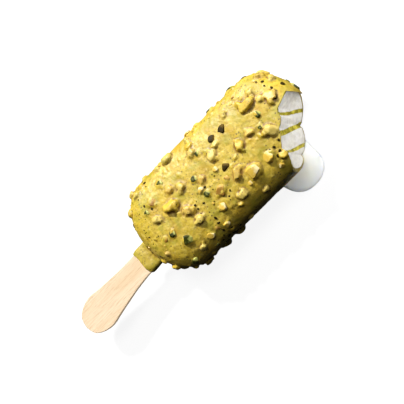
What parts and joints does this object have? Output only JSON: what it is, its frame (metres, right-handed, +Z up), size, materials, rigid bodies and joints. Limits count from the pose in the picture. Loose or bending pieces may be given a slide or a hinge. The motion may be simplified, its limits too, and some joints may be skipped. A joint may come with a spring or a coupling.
{
  "type": "ice cream bar",
  "caption": "Bitten frozen dessert bar on a flat wooden stick: nut-studded pale yellow coating over ice cream with upright pistachio layers, and a small melted pool.",
  "frame": {"origin": "on the surface the bar lies on, under the middle of the bar before it was bitten", "axes": "+X along the bar from the stick towards the bitten tip, +Y across the bar away from the bite, +Z up out of the shown face"},
  "size_m": [0.1471, 0.0543, 0.0261],
  "materials": {
    "stick": "sawn birch, unfinished, fine grain along its length",
    "coating": "semi-gloss pale yellow coating with dark specks and broken nuts",
    "ice_cream": "matt, finely crystalline white",
    "pistachio": "matt olive paste",
    "melt": "wet, opaque cream white"
  },
  "bodies": {
    "root": {"stick": "stick", "coating": "coating", "ice_cream_band_1": "ice_cream", "ice_cream_band_2": "ice_cream", "ice_cream_band_3": "ice_cream", "ice_cream_band_4": "ice_cream", "pistachio_layer_1": "pistachio", "pistachio_layer_2": "pistachio", "pistachio_layer_3": "pistachio", "melted_pool": "melt"}
  },
  "joints": []
}
